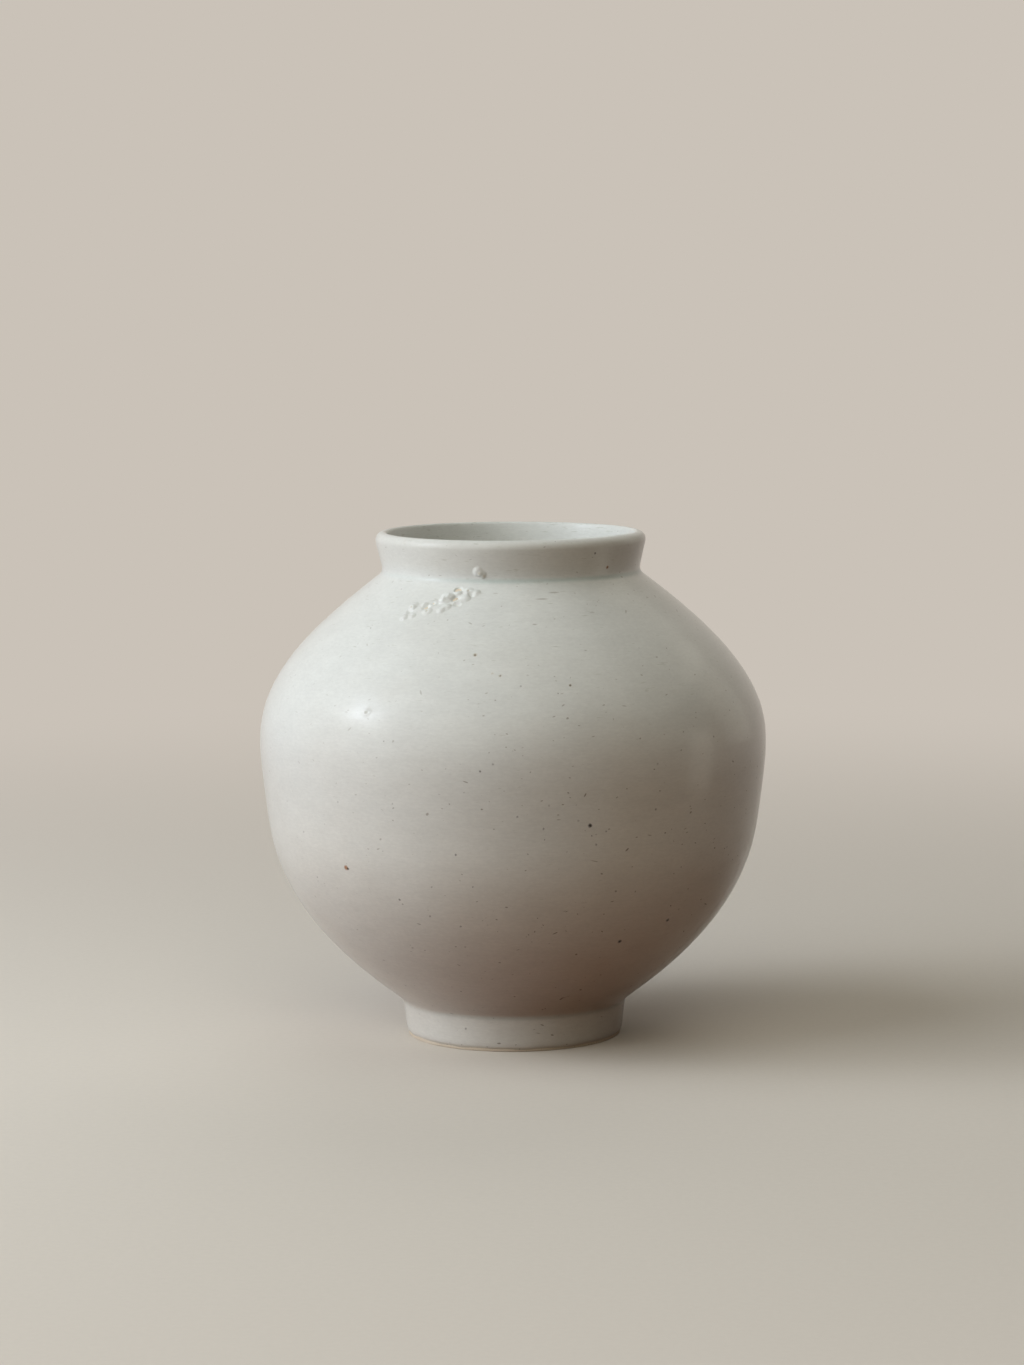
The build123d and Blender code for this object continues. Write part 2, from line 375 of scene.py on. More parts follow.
dice = random.Random(blisterBand["seed"])
(lowAround, lowHeight), (highAround, highHeight) = blisterBand["low"], blisterBand["high"]
blisters = []
tries = 0
while len(blisters) < blisterBand["count"] and tries < blisterBand["tries"]:
    tries += 1
    along = dice.random()
    around = lowAround + along * (highAround - lowAround)
    height = lowHeight + along * (highHeight - lowHeight)
    spot = spotOn(outsideRings, around, height + dice.uniform(-1, 1) * blisterBand["spread"])
    if all((spot - other).length > blisterBand["apart"] * mm for other in blisters):
        blisters.append(spot)

bpy.ops.object.mode_set(mode="EDIT")
bpy.context.tool_settings.mesh_select_mode = (True, False, False)
for layer in ("thinCoat", "throat"):
    bmesh.from_edit_mesh(glazeOutside.data).verts.layers.float.new(layer)
skin = finderFor(glazeOutside)
for mark in handMarks:
    pressSkin(glazeOutside, skin, spotOn(outsideRings, *mark["at"]), mark["move"] * mm, mark["size"] * mm)
bpy.ops.mesh.select_all(action="DESELECT")
for vert in bmesh.from_edit_mesh(glazeOutside.data).verts:
    vert.select_set(vert.co.z > lipTop - outerGlaze["lipBand"])
bpy.ops.transform.translate(value=(-outerGlaze["lean"] * mm, 0, 0), use_proportional_edit=True,
                            proportional_edit_falloff="SMOOTH", proportional_size=outerGlaze["leanReach"])
dice = random.Random(outerGlaze["seed"])
for around in range(0, 360, 45):
    stray = Vector((0, 0, dice.uniform(-1, 0.4) * outerGlaze["lipWander"] * mm))
    crest = spotOn(outsideRings, around + dice.uniform(-9, 9), lipTop / mm)
    pressSkin(glazeOutside, skin, crest, stray, dice.uniform(*outerGlaze["lipReach"]) * mm)
for around in range(0, 360, 15):
    edge = spotOn(outsideRings, around + dice.uniform(-5, 5), edgeLow / mm)
    stray = Vector((0, 0, dice.uniform(-1, 1) * outerGlaze["wander"] * mm))
    pressSkin(glazeOutside, skin, edge, stray, dice.uniform(*outerGlaze["wanderReach"]) * mm)

beadSpots = [spotOn(outsideRings, *drop["at"]) for drop in neckBead["drops"]]
pitSpots = [spotOn(outsideRings, *pit["at"]) for pit in pits]
bpy.context.tool_settings.mesh_select_mode = (False, False, True)
refineSkin(glazeOutside, [(spot, blisterBand["fineMesh"] * mm) for spot in blisters]
           + [(spot, neckBead["fineMesh"] * mm) for spot in beadSpots], fineCuts)
refineSkin(glazeOutside, [(spot, pitShape["fineMesh"] * mm) for spot in pitSpots], fineCuts)
bpy.context.tool_settings.mesh_select_mode = (True, False, False)
skin = finderFor(glazeOutside)
dice = random.Random(blisterBand["seed"])
for blister in blisters:
    lobe = blister
    for count in range(dice.randint(*blisterBand["lobes"])):
        size = dice.uniform(*blisterBand["size"]) * mm
        pressSkin(glazeOutside, skin, lobe, dice.uniform(*blisterBand["rise"]) * mm, size, "INVERSE_SQUARE")
        slide = blisterBand["slide"]
        lobe = lobe + Vector([dice.uniform(-slide, slide) * size for axis in range(3)])
    if dice.random() < blisterBand["burst"]:
        sink = -blisterBand["hollowDepth"] * mm
        pressSkin(glazeOutside, skin, blister, sink, blisterBand["hollowSize"] * mm)
        bare = dice.uniform(*blisterBand["bare"])
        paintSkin(glazeOutside, skin, blister, bare, blisterBand["bareSize"] * mm)
for drop, spot in zip(neckBead["drops"], beadSpots):
    pressSkin(glazeOutside, skin, spot, drop["rise"] * mm, drop["size"] * mm, "INVERSE_SQUARE")
    bareSpot = spot + Vector(neckBead["bareAt"]) * mm
    paintSkin(glazeOutside, skin, bareSpot, neckBead["bare"], neckBead["bareSize"] * mm)
for pit, spot in zip(pits, pitSpots):
    pressSkin(glazeOutside, skin, spot, pit["rise"] * mm, pit["size"] * mm)
    sink = -(pit["rise"] + pit["depth"]) * mm
    pressSkin(glazeOutside, skin, spot, sink, pitShape["hole"] * pit["size"] * mm)
    paintSkin(glazeOutside, skin, spot, pit["bare"], pitShape["bare"] * pit["size"] * mm)
for step in range(smear["steps"]):
    along = step / (smear["steps"] - 1)
    around = smear["from"][0] + along * (smear["to"][0] - smear["from"][0])
    height = smear["from"][1] + along * (smear["to"][1] - smear["from"][1])
    spot = spotOn(outsideRings, around, height)
    pressSkin(glazeOutside, skin, spot, -smear["depth"] * mm, smear["size"] * mm)
for count in range(lipSpots["count"]):
    spot = spotOn(outsideRings, dice.uniform(0, 360), lipTop / mm - dice.uniform(*lipSpots["below"]))
    bare = dice.uniform(*lipSpots["bare"])
    paintSkin(glazeOutside, skin, spot, bare, dice.uniform(*lipSpots["size"]) * mm)

mesh = bmesh.from_edit_mesh(glazeOutside.data)
thinCoat = mesh.verts.layers.float["thinCoat"]
inThroat = mesh.verts.layers.float["throat"]
for vert in mesh.verts:
    radius = math.hypot(vert.co.x, vert.co.y)
    outside = radiusAt(outsideRings, min(vert.co.z, lipTop - outerGlaze["lipBand"]))
    above = (vert.co.z - neckCorner - thinGlaze["collarFrom"]) / thinGlaze["collarRun"]
    overEdge = (vert.co.z - edgeLow) / thinGlaze["footRun"]
    if radius < outside - 1.5 * lipHalf:  # past the crest of the lip
        vert[inThroat] = 1
    elif above > 0:
        crest = max(0, 1 - (lipTop - vert.co.z) / thinGlaze["lipRun"])
        vert[thinCoat] = max(vert[thinCoat], thinGlaze["collar"] * min(1, above) - thinGlaze["lip"] * crest)
    elif overEdge < 1:
        vert[thinCoat] = thinGlaze["foot"] * min(1, 1 - overEdge)
bpy.ops.object.mode_set(mode="OBJECT")
print("outer glaze marked,", len(glazeOutside.data.polygons), "faces,", len(blisters), "blisters")

innerGlaze = {
    "segments": 144,
    "smoothness": 2,
    "step": 1.8 * mm,
    "turn": math.radians(9),
    "clayStep": 14 * mm,
    "clayTurn": 0.35,
    "top": 178 * mm,          # hidden behind the end of the outer coat
    "ringPitch": 7.5 * mm,    # ridges that the fingers left
    "ringHeight": 0.22 * mm,
    "ringsFrom": 50 * mm,     # radius where they begin, clear of the floor and the neck
    "ringsRun": 20 * mm,      # and how far out they are full
}

hollow = [ring for ring in insideRings if ring[1] < innerGlaze["top"]]
hollowClay = [ring for ring in insideClay if ring[1] < innerGlaze["top"]]
front = [(0, hollow[0][1])]
for radius, height in thinned(hollow, innerGlaze["step"], innerGlaze["turn"]):
    turn = 2 * math.pi * height / innerGlaze["ringPitch"]
    share = min(1, max(0, radius - innerGlaze["ringsFrom"]) / innerGlaze["ringsRun"])
    front.append((radius - innerGlaze["ringHeight"] * (1 + math.sin(turn)) * share, height))
back = thinned(hollowClay, innerGlaze["clayStep"], innerGlaze["clayTurn"])[::-1]
back.append((0, insideClay[0][1]))
glazeInside = turnOnWheel("glazeInside", front, back, innerGlaze["segments"], innerGlaze["smoothness"])
print("inner glaze turned,", len(glazeInside.data.polygons), "faces")

# Porcelain glaze, poured and fired to a satin: a cool white with depth, bluish where it pooled and buff
# where it ran thin, broken by iron specks, pinholes and the faint rings of the turning tool.
glazeLook = {
    "cool": "#DDE0DD",
    "warm": "#DCD8CE",
    "pooled": "#BECBC8",
    "thin": "#BBAD95",
    "iron": "#2C1D13",
    "rust": "#9C6128",
    "pore": "#857D70",
    "dash": "#A3A698",
    "roughness": 0.31,        # stays above 0.28 all over, below which the denoiser shows a seam
    "roughClouds": 0.06,      # range of roughness in the clouds
    "roughThin": 0.35,        # rougher by this where the clay shows
    "cloud": 60,              # mm across, slow change of tone
    "cloudShare": 0.8,        # how far these clouds turn the tone from warm to cool
    "lightTintHeights": (20, 140),  # mm, painted light: the coat is cooler higher up, where the cool window light falls, and warmer lower down, where the warm bounce falls
    "lightTintShares": (-0.4, 0.6),
    "coolFoot": 0.4,          # and on the foot
    "noiseRange": (0.3, 0.7),  # most of a noise lies here
    # mm long and high: glaze that lies thicker or thinner, marks of the turning tool, fine unevenness
    "mottle": {"size": (15, 6), "rough": 0.5, "tone": (0.972, 1.022)},
    "turning": {"size": (6, 0.7), "rough": 0.6, "tone": (0.98, 1.012)},
    "grain": {"size": (2.2, 0.9), "rough": 0.7, "tone": (0.955, 1.025)},
    "dashHeights": (120, 182),  # mm, over which the turning tool's deeper marks get more
    "dashFrom": (0.70, 0.64),
    "dashMouthShade": 0.02,        # and more again inside the mouth: partly the tool's marks, partly painted shade that darkens the inside of the mouth
    "dashEdge": 0.10,
    "dashShare": 0.40,
    "nickCore": 0.4,          # share of a nick that is dark all over
    "peel": 4.0,              # mm across, orange-peel unevenness
    "turningRelief": 0.010,   # mm
    "peelRelief": 0.02,
    "poreRelief": 0.06,
    "poreCell": (4.4, 2.1),   # mm wide and high, one pore in some of these cells
    "poreSize": 0.38,         # mm, drawn larger than a real pore of 0.1 so that it shows in the render
    "poreNone": 0.15,         # share of cells without one
    "poreEdge": 0.07,         # softness of its edge, in cells
    "poreDark": 0.85,
    "poreStray": (11, 12),    # mm, cells pushed about over the first by the second, so that they keep no rows
    "poreHeights": (105, 150),  # mm, with paler pores above
    "poreHigh": 0.6,
    "speckCell": 6.0,         # mm, one iron speck in some of these cells
    "speckSize": 0.40,        # mm
    "speckNone": 0.3,
    "speckEdge": 0.035,
    "speckDark": 0.85,
    "speckCore": 0.45,        # share of a placed speck's radius that is dark all over
    "rustCore": 0.5,
    "rustDark": 0.9,
    "fray": 0.6,              # mm, raggedness of a speck's edge
    "sparseFrom": (-75, 5),    # mm to the right, fewer pores and specks on the left
    "sparseShare": 0.35,
    "neckPool": (1.6, 0.85),  # mm that the pooled glaze reaches from the corner, and how deep its tone is
    "footPool": (1.5, 0.4),
    "poolHighlightFrom": (-35, -5),    # mm to the right, painted highlight: the pooled tint fades on the left, where the window lights the corners
    "poolHighlightShare": 0.25,
}
ironSpecks = [  # place, mm radius, how dark
    ((-41.4, 77.2), 0.68, 1.0), ((17.0, 96.6), 1.00, 1.0), ((29.8, 48.4), 1.05, 1.0),
    ((43.6, 55.0), 1.00, 1.0), ((-7.0, 118.0), 0.55, 0.7), ((-28.1, 66.8), 0.60, 0.7),
    ((-12.9, 85.9), 0.55, 0.6), ((6.6, 96.0), 0.55, 0.5), ((20.8, 94.0), 0.45, 0.5),
    ((24.5, 70.1), 0.55, 0.5), ((32.9, 100.9), 0.55, 0.5), ((18.6, 89.1), 0.50, 0.5),
    ((-13.4, 57.0), 0.55, 0.5), ((-4.3, 120.7), 0.55, 0.4), ((0.9, 100.7), 0.45, 0.5),
    ((-25.9, 8.7), 0.55, 0.5), ((-9.4, 73.4), 0.40, 0.5), ((50.2, 125.9), 0.50, 0.5),
    ((2.0, 148.5), 0.50, 0.4), ((-19.9, 26.8), 0.50, 0.5), ((14.3, 98.7), 0.55, 0.3),
    ((-55.8, 89.0), 0.55, 0.3), ((32.9, 118.4), 0.50, 0.3), ((-27.2, 104.4), 0.45, 0.3),
    ((42.2, 76.9), 0.45, 0.4), ((-42.1, 103.1), 0.55, 0.3), ((7.7, 104.8), 0.50, 0.3),
    ((-53.9, 71.4), 0.55, 0.4), ((59.1, 81.2), 0.45, 0.4), ((46.1, 59.1), 0.45, 0.4),
    ((37.5, 194.2), 0.55, 0.8), ((46.0, 188.3), 0.45, 0.7), ((-36.3, 2.2), 0.40, 0.5),
    ((140, 104), 0.75, 0.9), ((-112, 62), 0.75, 0.9), ((-160, 138), 0.65, 0.7),
    ((98, 58), 0.70, 0.8), ((-96, 150), 0.55, 0.6), ((165, 52), 0.65, 0.8),
    ((121, 86), 0.50, 0.5), ((-10.0, 159.2), 0.60, 0.4), ((-3.0, 152.1), 0.50, 0.35),
    ((14.0, 148.4), 0.60, 0.6), ((-29.0, 1.9), 0.40, 0.5), ((-14.5, 1.8), 0.45, 0.6),
    ((-11.5, 1.5), 0.35, 0.5),
]
toolNicks = [  # place, mm long and high, how dark
    ((16.7, 180.3), 2.6, 0.32, 0.5), ((11.3, 178.2), 3.0, 0.32, 0.5), ((28.0, 173.0), 1.4, 0.4, 0.3),
    ((-6.4, 180.3), 1.3, 0.3, 0.3),
]
rustSpots = [((-42.0, 77.5), 1.25), ((46.0, 188.3), 0.8), ((-112, 62), 1.1)]  # iron that ran into the glaze

glaze = emptied(bpy.data.materials.new("porcelainGlaze"))
place = addNode(glaze, "TexCoord").outputs["Object"]
where = addNode(glaze, "SeparateXYZ", {0: place})
right = where.outputs["X"]
height = where.outputs["Z"]
clouds = addNode(glaze, "TexNoise", {"Vector": place, "Scale": 1 / (glazeLook["cloud"] * mm), "Detail": 3})
# painted light: a cooler tone higher up and a warmer one lower down stand for the window's light above and
# the warm bounce below
low, high = glazeLook["lightTintHeights"]
rise = addNode(glaze, "MapRange", {"Value": height, **span(low * mm, high * mm, *glazeLook["lightTintShares"])})
onFoot = addNode(glaze, "MapRange", {"Value": height,
                                     **span(footCorner - mm, footCorner + mm, glazeLook["coolFoot"], 0)})
cool = addNode(glaze, "Math", {0: rise.outputs["Result"], 1: onFoot.outputs["Result"]}, operation="ADD")
cool = addNode(glaze, "Math", {0: clouds.outputs["Fac"], 1: glazeLook["cloudShare"], 2: cool.outputs[0]},
               operation="MULTIPLY_ADD", use_clamp=True)
coats = [(cool.outputs[0], linear(glazeLook["cool"]), "MIX")]  # in order: how much, colour, how it blends

# painted highlight: the pooled tint is weaker on the left, so that the corners read white there as under the
# window's light
low, high = glazeLook["poolHighlightFrom"]
poolFadeOnLitSide = addNode(glaze, "MapRange", {"Value": right,
                                       **span(low * mm, high * mm, glazeLook["poolHighlightShare"], 1)})
for corner, (reach, depth) in ((neckCorner, glazeLook["neckPool"]), (footCorner, glazeLook["footPool"])):
    away = addNode(glaze, "Math", {0: height, 1: corner}, operation="SUBTRACT")
    away = addNode(glaze, "Math", {0: away.outputs[0]}, operation="ABSOLUTE")
    pool = addNode(glaze, "MapRange", {"Value": away.outputs[0], **span(0, reach * mm, depth, 0)},
                   interpolation_type="SMOOTHSTEP")
    pool = addNode(glaze, "Math", {0: pool.outputs["Result"], 1: poolFadeOnLitSide.outputs["Result"]},
                   operation="MULTIPLY")
    coats.append((pool.outputs[0], linear(glazeLook["pooled"]), "MIX"))

noises = {}
for name in ("mottle", "turning", "grain"):
    look = glazeLook[name]
    stretched = addNode(glaze, "Mapping", {"Vector": place, "Scale": stretch(*look["size"])})
    noise = addNode(glaze, "TexNoise", {"Vector": stretched.outputs[0], "Scale": 1, "Detail": 2,
                                        "Roughness": look["rough"]})
    noises[name] = noise.outputs["Fac"]
    tone = addNode(glaze, "MapRange", {"Value": noises[name],
                                       **span(*glazeLook["noiseRange"], *look["tone"])})
    coats.append((1, tone.outputs["Result"], "MULTIPLY"))

# deeper marks of the turning tool: short level dashes, and a few nicks each at its own place
low, high = glazeLook["dashHeights"]
inMouth = addNode(glaze, "Attribute", attribute_name="throat").outputs["Fac"]
drawn = addNode(glaze, "MapRange", {"Value": height, **span(low * mm, high * mm, *glazeLook["dashFrom"])})
# inside the mouth the dashes are denser, partly the tool's marks and partly painted shade on the inside of
# the mouth
drawn = addNode(glaze, "Math", {0: inMouth, 1: -glazeLook["dashMouthShade"], 2: drawn.outputs["Result"]},
                operation="MULTIPLY_ADD")
dash = addNode(glaze, "Math", {0: noises["turning"], 1: drawn.outputs[0]}, operation="SUBTRACT")
dash = addNode(glaze, "MapRange", {"Value": dash.outputs[0],
                                   **span(0, glazeLook["dashEdge"], 0, glazeLook["dashShare"])})
coats.append((dash.outputs["Result"], linear(glazeLook["dash"]), "MIX"))
for at, long, tall, dark in toolNicks:
    apart = addNode(glaze, "VectorMath", {0: place, 1: spotOn(outsideRings, *at)}, operation="SUBTRACT")
    apart = addNode(glaze, "VectorMath", {0: apart.outputs[0], 1: stretch(long, tall)}, operation="MULTIPLY")
    apart = addNode(glaze, "VectorMath", {0: apart.outputs[0]}, operation="LENGTH")
    nick = addNode(glaze, "MapRange", {"Value": apart.outputs["Value"],
                                       **span(glazeLook["nickCore"], 1, dark, 0)})
    coats.append((nick.outputs["Result"], linear(glazeLook["pore"]), "MIX"))
thinness = addNode(glaze, "Attribute", attribute_name="thinCoat").outputs["Fac"]
coats.append((thinness, linear(glazeLook["thin"]), "MIX"))

# pores: one near the middle of some flattened cells, each a short level dash
low, high = glazeLook["sparseFrom"]
sparserLeft = addNode(glaze, "MapRange", {"Value": right, **span(low * mm, high * mm, glazeLook["sparseShare"], 1)})
low, high = glazeLook["poreHeights"]
fewer = addNode(glaze, "MapRange", {"Value": height, **span(low * mm, high * mm, 1, glazeLook["poreHigh"])})
fewer = addNode(glaze, "Math", {0: fewer.outputs["Result"], 1: sparserLeft.outputs["Result"]}, operation="MULTIPLY")
strayOver, strayBy = glazeLook["poreStray"]
astray = addNode(glaze, "TexNoise", {"Vector": place, "Scale": 1 / (strayOver * mm), "Detail": 1})
astray = addNode(glaze, "VectorMath", {0: astray.outputs["Color"], 1: [strayBy * mm] * 3, 2: place},
                 operation="MULTIPLY_ADD")
cells = addNode(glaze, "Mapping", {"Vector": astray.outputs[0], "Scale": stretch(*glazeLook["poreCell"])})
pores = addNode(glaze, "TexVoronoi", {"Vector": cells.outputs[0], "Scale": 1})
chance = addNode(glaze, "SeparateColor", {0: pores.outputs["Color"]}).outputs[0]
radius = addNode(glaze, "MapRange", {"Value": chance,
                                     **span(glazeLook["poreNone"], 1, 0,
                                            glazeLook["poreSize"] / glazeLook["poreCell"][1])})
pore = addNode(glaze, "Math", {0: radius.outputs["Result"], 1: pores.outputs["Distance"]},
               operation="SUBTRACT")
pore = addNode(glaze, "MapRange", {"Value": pore.outputs[0],
                                   **span(0, glazeLook["poreEdge"], 0, glazeLook["poreDark"])})
pore = addNode(glaze, "Math", {0: pore.outputs["Result"], 1: fewer.outputs[0]}, operation="MULTIPLY")
coats.append((pore.outputs[0], linear(glazeLook["pore"]), "MIX"))

# iron specks: scattered ones in cells, and listed ones, each at its own place
fray = glazeLook["fray"] * mm
ragged = addNode(glaze, "TexNoise", {"Vector": place, "Scale": 1 / fray, "Detail": 1})
ragged = addNode(glaze, "VectorMath", {0: ragged.outputs["Color"], 1: (0.5, 0.5, 0.5)}, operation="SUBTRACT")
ragged = addNode(glaze, "VectorMath", {0: ragged.outputs[0], 1: [fray] * 3, 2: place},
                 operation="MULTIPLY_ADD").outputs[0]
specks = addNode(glaze, "TexVoronoi", {"Vector": ragged, "Scale": 1 / (glazeLook["speckCell"] * mm)})
chance = addNode(glaze, "SeparateColor", {0: specks.outputs["Color"]}).outputs[0]
radius = addNode(glaze, "MapRange", {"Value": chance,
                                     **span(glazeLook["speckNone"], 1, 0,
                                            glazeLook["speckSize"] / glazeLook["speckCell"])})
iron = addNode(glaze, "Math", {0: radius.outputs["Result"], 1: specks.outputs["Distance"]},
               operation="SUBTRACT")
iron = addNode(glaze, "MapRange", {"Value": iron.outputs[0],
                                   **span(0, glazeLook["speckEdge"], 0, glazeLook["speckDark"])})
iron = addNode(glaze, "Math", {0: iron.outputs["Result"], 1: sparserLeft.outputs["Result"]}, operation="MULTIPLY")
for at, size in rustSpots:
    apart = addNode(glaze, "VectorMath", {0: ragged, 1: spotOn(outsideRings, *at)}, operation="DISTANCE")
    rust = addNode(glaze, "MapRange", {"Value": apart.outputs["Value"],
                                       **span(glazeLook["rustCore"] * size * mm, size * mm,
                                              glazeLook["rustDark"], 0)})
    coats.append((rust.outputs["Result"], linear(glazeLook["rust"]), "MIX"))
for at, size, dark in ironSpecks:
    apart = addNode(glaze, "VectorMath", {0: ragged, 1: spotOn(outsideRings, *at)}, operation="DISTANCE")
    speck = addNode(glaze, "MapRange", {"Value": apart.outputs["Value"],
                                        **span(glazeLook["speckCore"] * size * mm, size * mm, dark, 0)})
    iron = addNode(glaze, "Math", {0: iron.outputs[0], 1: speck.outputs["Result"]}, operation="MAXIMUM")
coats.append((iron.outputs[0], linear(glazeLook["iron"]), "MIX"))

colour = linear(glazeLook["warm"])
for share, tint, blend in coats:
    colour = addNode(glaze, "Mix", {0: share, 6: colour, 7: tint}, data_type="RGBA",
                     blend_type=blend).outputs[2]
peel = addNode(glaze, "TexNoise", {"Vector": place, "Scale": 1 / (glazeLook["peel"] * mm), "Detail": 2})
relief = 0
for bumps, reliefHeight in ((noises["turning"], glazeLook["turningRelief"]),
                            (peel.outputs["Fac"], glazeLook["peelRelief"]),
                            (pore.outputs[0], -glazeLook["poreRelief"])):
    relief = addNode(glaze, "Math", {0: bumps, 1: reliefHeight, 2: relief},
                     operation="MULTIPLY_ADD").outputs[0]
bump = addNode(glaze, "Bump", {"Height": relief, "Distance": mm, "Strength": 1})
gloss = addNode(glaze, "Math", {0: clouds.outputs["Fac"], 1: glazeLook["roughClouds"],
                                2: glazeLook["roughness"] - glazeLook["roughClouds"] / 2},
                operation="MULTIPLY_ADD")
gloss = addNode(glaze, "Math", {0: thinness, 1: glazeLook["roughThin"], 2: gloss.outputs[0]},
                operation="MULTIPLY_ADD")
shader = addNode(glaze, "BsdfPrincipled", {"Base Color": colour, "Roughness": gloss.outputs[0], "IOR": 1.5,
                                           "Normal": bump.outputs[0], "Specular IOR Level": 0.35,
                                           "Coat Weight": 0.5, "Coat Roughness": 0.12})
addNode(glaze, "OutputMaterial", {"Surface": shader.outputs[0]})
print("glaze mixed")

# Unglazed porcelain, wiped with a sponge and fired: dry and matt, buff, with darker grit
clayLook = {
    "body": "#D6C8B1",
    "pale": "#DFD5C4",
    "grit": "#9A8266",
    "patch": 14,              # mm across
    "grain": 0.55,            # mm
    "gritFrom": (0.66, 0.72),  # the darkest grains of the noise are grit
    "gritDark": 0.7,
}
clay = emptied(bpy.data.materials.new("barePorcelain"))
place = addNode(clay, "TexCoord").outputs["Object"]
patches = addNode(clay, "TexNoise", {"Vector": place, "Scale": 1 / (clayLook["patch"] * mm), "Detail": 4})
colour = addNode(clay, "Mix", {0: patches.outputs["Fac"], 6: linear(clayLook["body"]),
                               7: linear(clayLook["pale"])}, data_type="RGBA").outputs[2]
grains = addNode(clay, "TexNoise", {"Vector": place, "Scale": 1 / (clayLook["grain"] * mm), "Detail": 2})
grit = addNode(clay, "MapRange", {"Value": grains.outputs["Fac"],
                                  **span(*clayLook["gritFrom"], 0, clayLook["gritDark"])})
colour = addNode(clay, "Mix", {0: grit.outputs["Result"], 6: colour, 7: linear(clayLook["grit"])},
                 data_type="RGBA").outputs[2]
bump = addNode(clay, "Bump", {"Height": grains.outputs["Fac"], "Distance": 0.12 * mm})
shader = addNode(clay, "BsdfPrincipled", {"Base Color": colour, "Roughness": 0.85, "Normal": bump.outputs[0]})
addNode(clay, "OutputMaterial", {"Surface": shader.outputs[0]})

# Fired slip of the same clay: finer and paler than the body
slipLook = {"pale": "#E0D8C9", "deep": "#D6CAB6", "drag": 5}  # mm across, smears of the brush
slip = emptied(bpy.data.materials.new("firedSlip"))
place = addNode(slip, "TexCoord").outputs["Object"]
drag = addNode(slip, "TexNoise", {"Vector": place, "Scale": 1 / (slipLook["drag"] * mm), "Detail": 5})
colour = addNode(slip, "Mix", {0: drag.outputs["Fac"], 6: linear(slipLook["deep"]),
                               7: linear(slipLook["pale"])}, data_type="RGBA").outputs[2]
bump = addNode(slip, "Bump", {"Height": drag.outputs["Fac"], "Distance": 0.1 * mm})
shader = addNode(slip, "BsdfPrincipled", {"Base Color": colour, "Roughness": 0.8, "Normal": bump.outputs[0]})
addNode(slip, "OutputMaterial", {"Surface": shader.outputs[0]})

for piece, node in ((glazeOutside, "outer_glaze"), (glazeInside, "inner_glaze")):
    pickOnly(piece)
    bpy.ops.object.shade_smooth_by_angle(angle=math.radians(60))
    piece.data.materials.append(glaze)
    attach(piece, "root")
    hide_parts(node)
dressed = {"glaze": glaze, "clay": clay, "slip": slip}
for part in frame["record"]["subparts"]:
    for slotHolder in nodes[part["node"]].material_slots:
        slotHolder.material = dressed[part["material_slot"]]
print("materials on")

stage = {
    "floor": "#DED8CF",       # as the camera sees it, in the lamps' light
    "backdrop": "#CAC2B8",    # as the camera sees it, evenly lit
    "bounce": "#714C36",      # the tone that floor and backdrop throw on the jar
    "reach": 3.0,             # metres of floor to either side
    "fold": 1.1,              # radius of the sweep up to the backdrop
    "even": (0.2, 1.1),       # metres from the jar, over which the floor turns to the even backdrop
    "fibre": 2.5,             # mm, mottle of the paper
    "fibreTone": (0.97, 1.03),
    "room": "#E6D6C6",
    "roomStrength": 0.04,
}
bpy.ops.object.select_all(action="DESELECT")
bpy.ops.mesh.primitive_plane_add(size=2 * stage["reach"])
floor = bpy.context.object
floor.name = "floor"
bpy.ops.object.mode_set(mode="EDIT")
bpy.context.tool_settings.mesh_select_mode = (False, True, False)
bpy.ops.mesh.select_all(action="DESELECT")
mesh = bmesh.from_edit_mesh(floor.data)
for edge in mesh.edges:  # the edge at the back rises to a wall
    edge.select_set(all(vert.co.y > 1 for vert in edge.verts))
bpy.ops.mesh.extrude_region_move(TRANSFORM_OT_translate={"value": (0, 0, stage["reach"])})
mesh = bmesh.from_edit_mesh(floor.data)
for edge in mesh.edges:  # and the corner below it is swept round
    edge.select_set(all(vert.co.y > 1 and vert.co.z < 0.1 for vert in edge.verts))
bpy.ops.mesh.bevel(offset=stage["fold"], segments=24)
bpy.ops.object.mode_set(mode="OBJECT")
bpy.ops.object.shade_smooth()

# Sheet of pulp-dyed paper: matt, one tone, with a faint mottle of fibre
paper = emptied(bpy.data.materials.new("backdropPaper"))
place = addNode(paper, "TexCoord").outputs["Object"]
seen = seenIn(paper)
fibre = addNode(paper, "TexNoise", {"Vector": place, "Scale": 1 / (stage["fibre"] * mm), "Detail": 3})
mottle = addNode(paper, "MapRange", {"Value": fibre.outputs["Fac"], **span(0, 1, *stage["fibreTone"])})
colour = addNode(paper, "Mix", {0: seen, 6: linear(stage["bounce"]), 7: linear(stage["floor"])},
                 data_type="RGBA").outputs[2]
colour = addNode(paper, "Mix", {0: 1, 6: colour, 7: mottle.outputs["Result"]}, data_type="RGBA",
                 blend_type="MULTIPLY").outputs[2]
lit = addNode(paper, "BsdfPrincipled", {"Base Color": colour, "Roughness": 0.9, "Specular IOR Level": 0.1})
even = addNode(paper, "Emission", {"Color": linear(stage["backdrop"]), "Strength": 1})
away = addNode(paper, "VectorMath", {0: place}, operation="LENGTH").outputs["Value"]
far = addNode(paper, "MapRange", {"Value": away, **span(*stage["even"], 0, 1)},
              interpolation_type="SMOOTHSTEP")
far = addNode(paper, "Math", {0: far.outputs["Result"], 1: seen}, operation="MULTIPLY")
shader = addNode(paper, "MixShader", {0: far.outputs[0], 1: lit.outputs[0], 2: even.outputs[0]})
addNode(paper, "OutputMaterial", {"Surface": shader.outputs[0]})
floor.data.materials.append(paper)

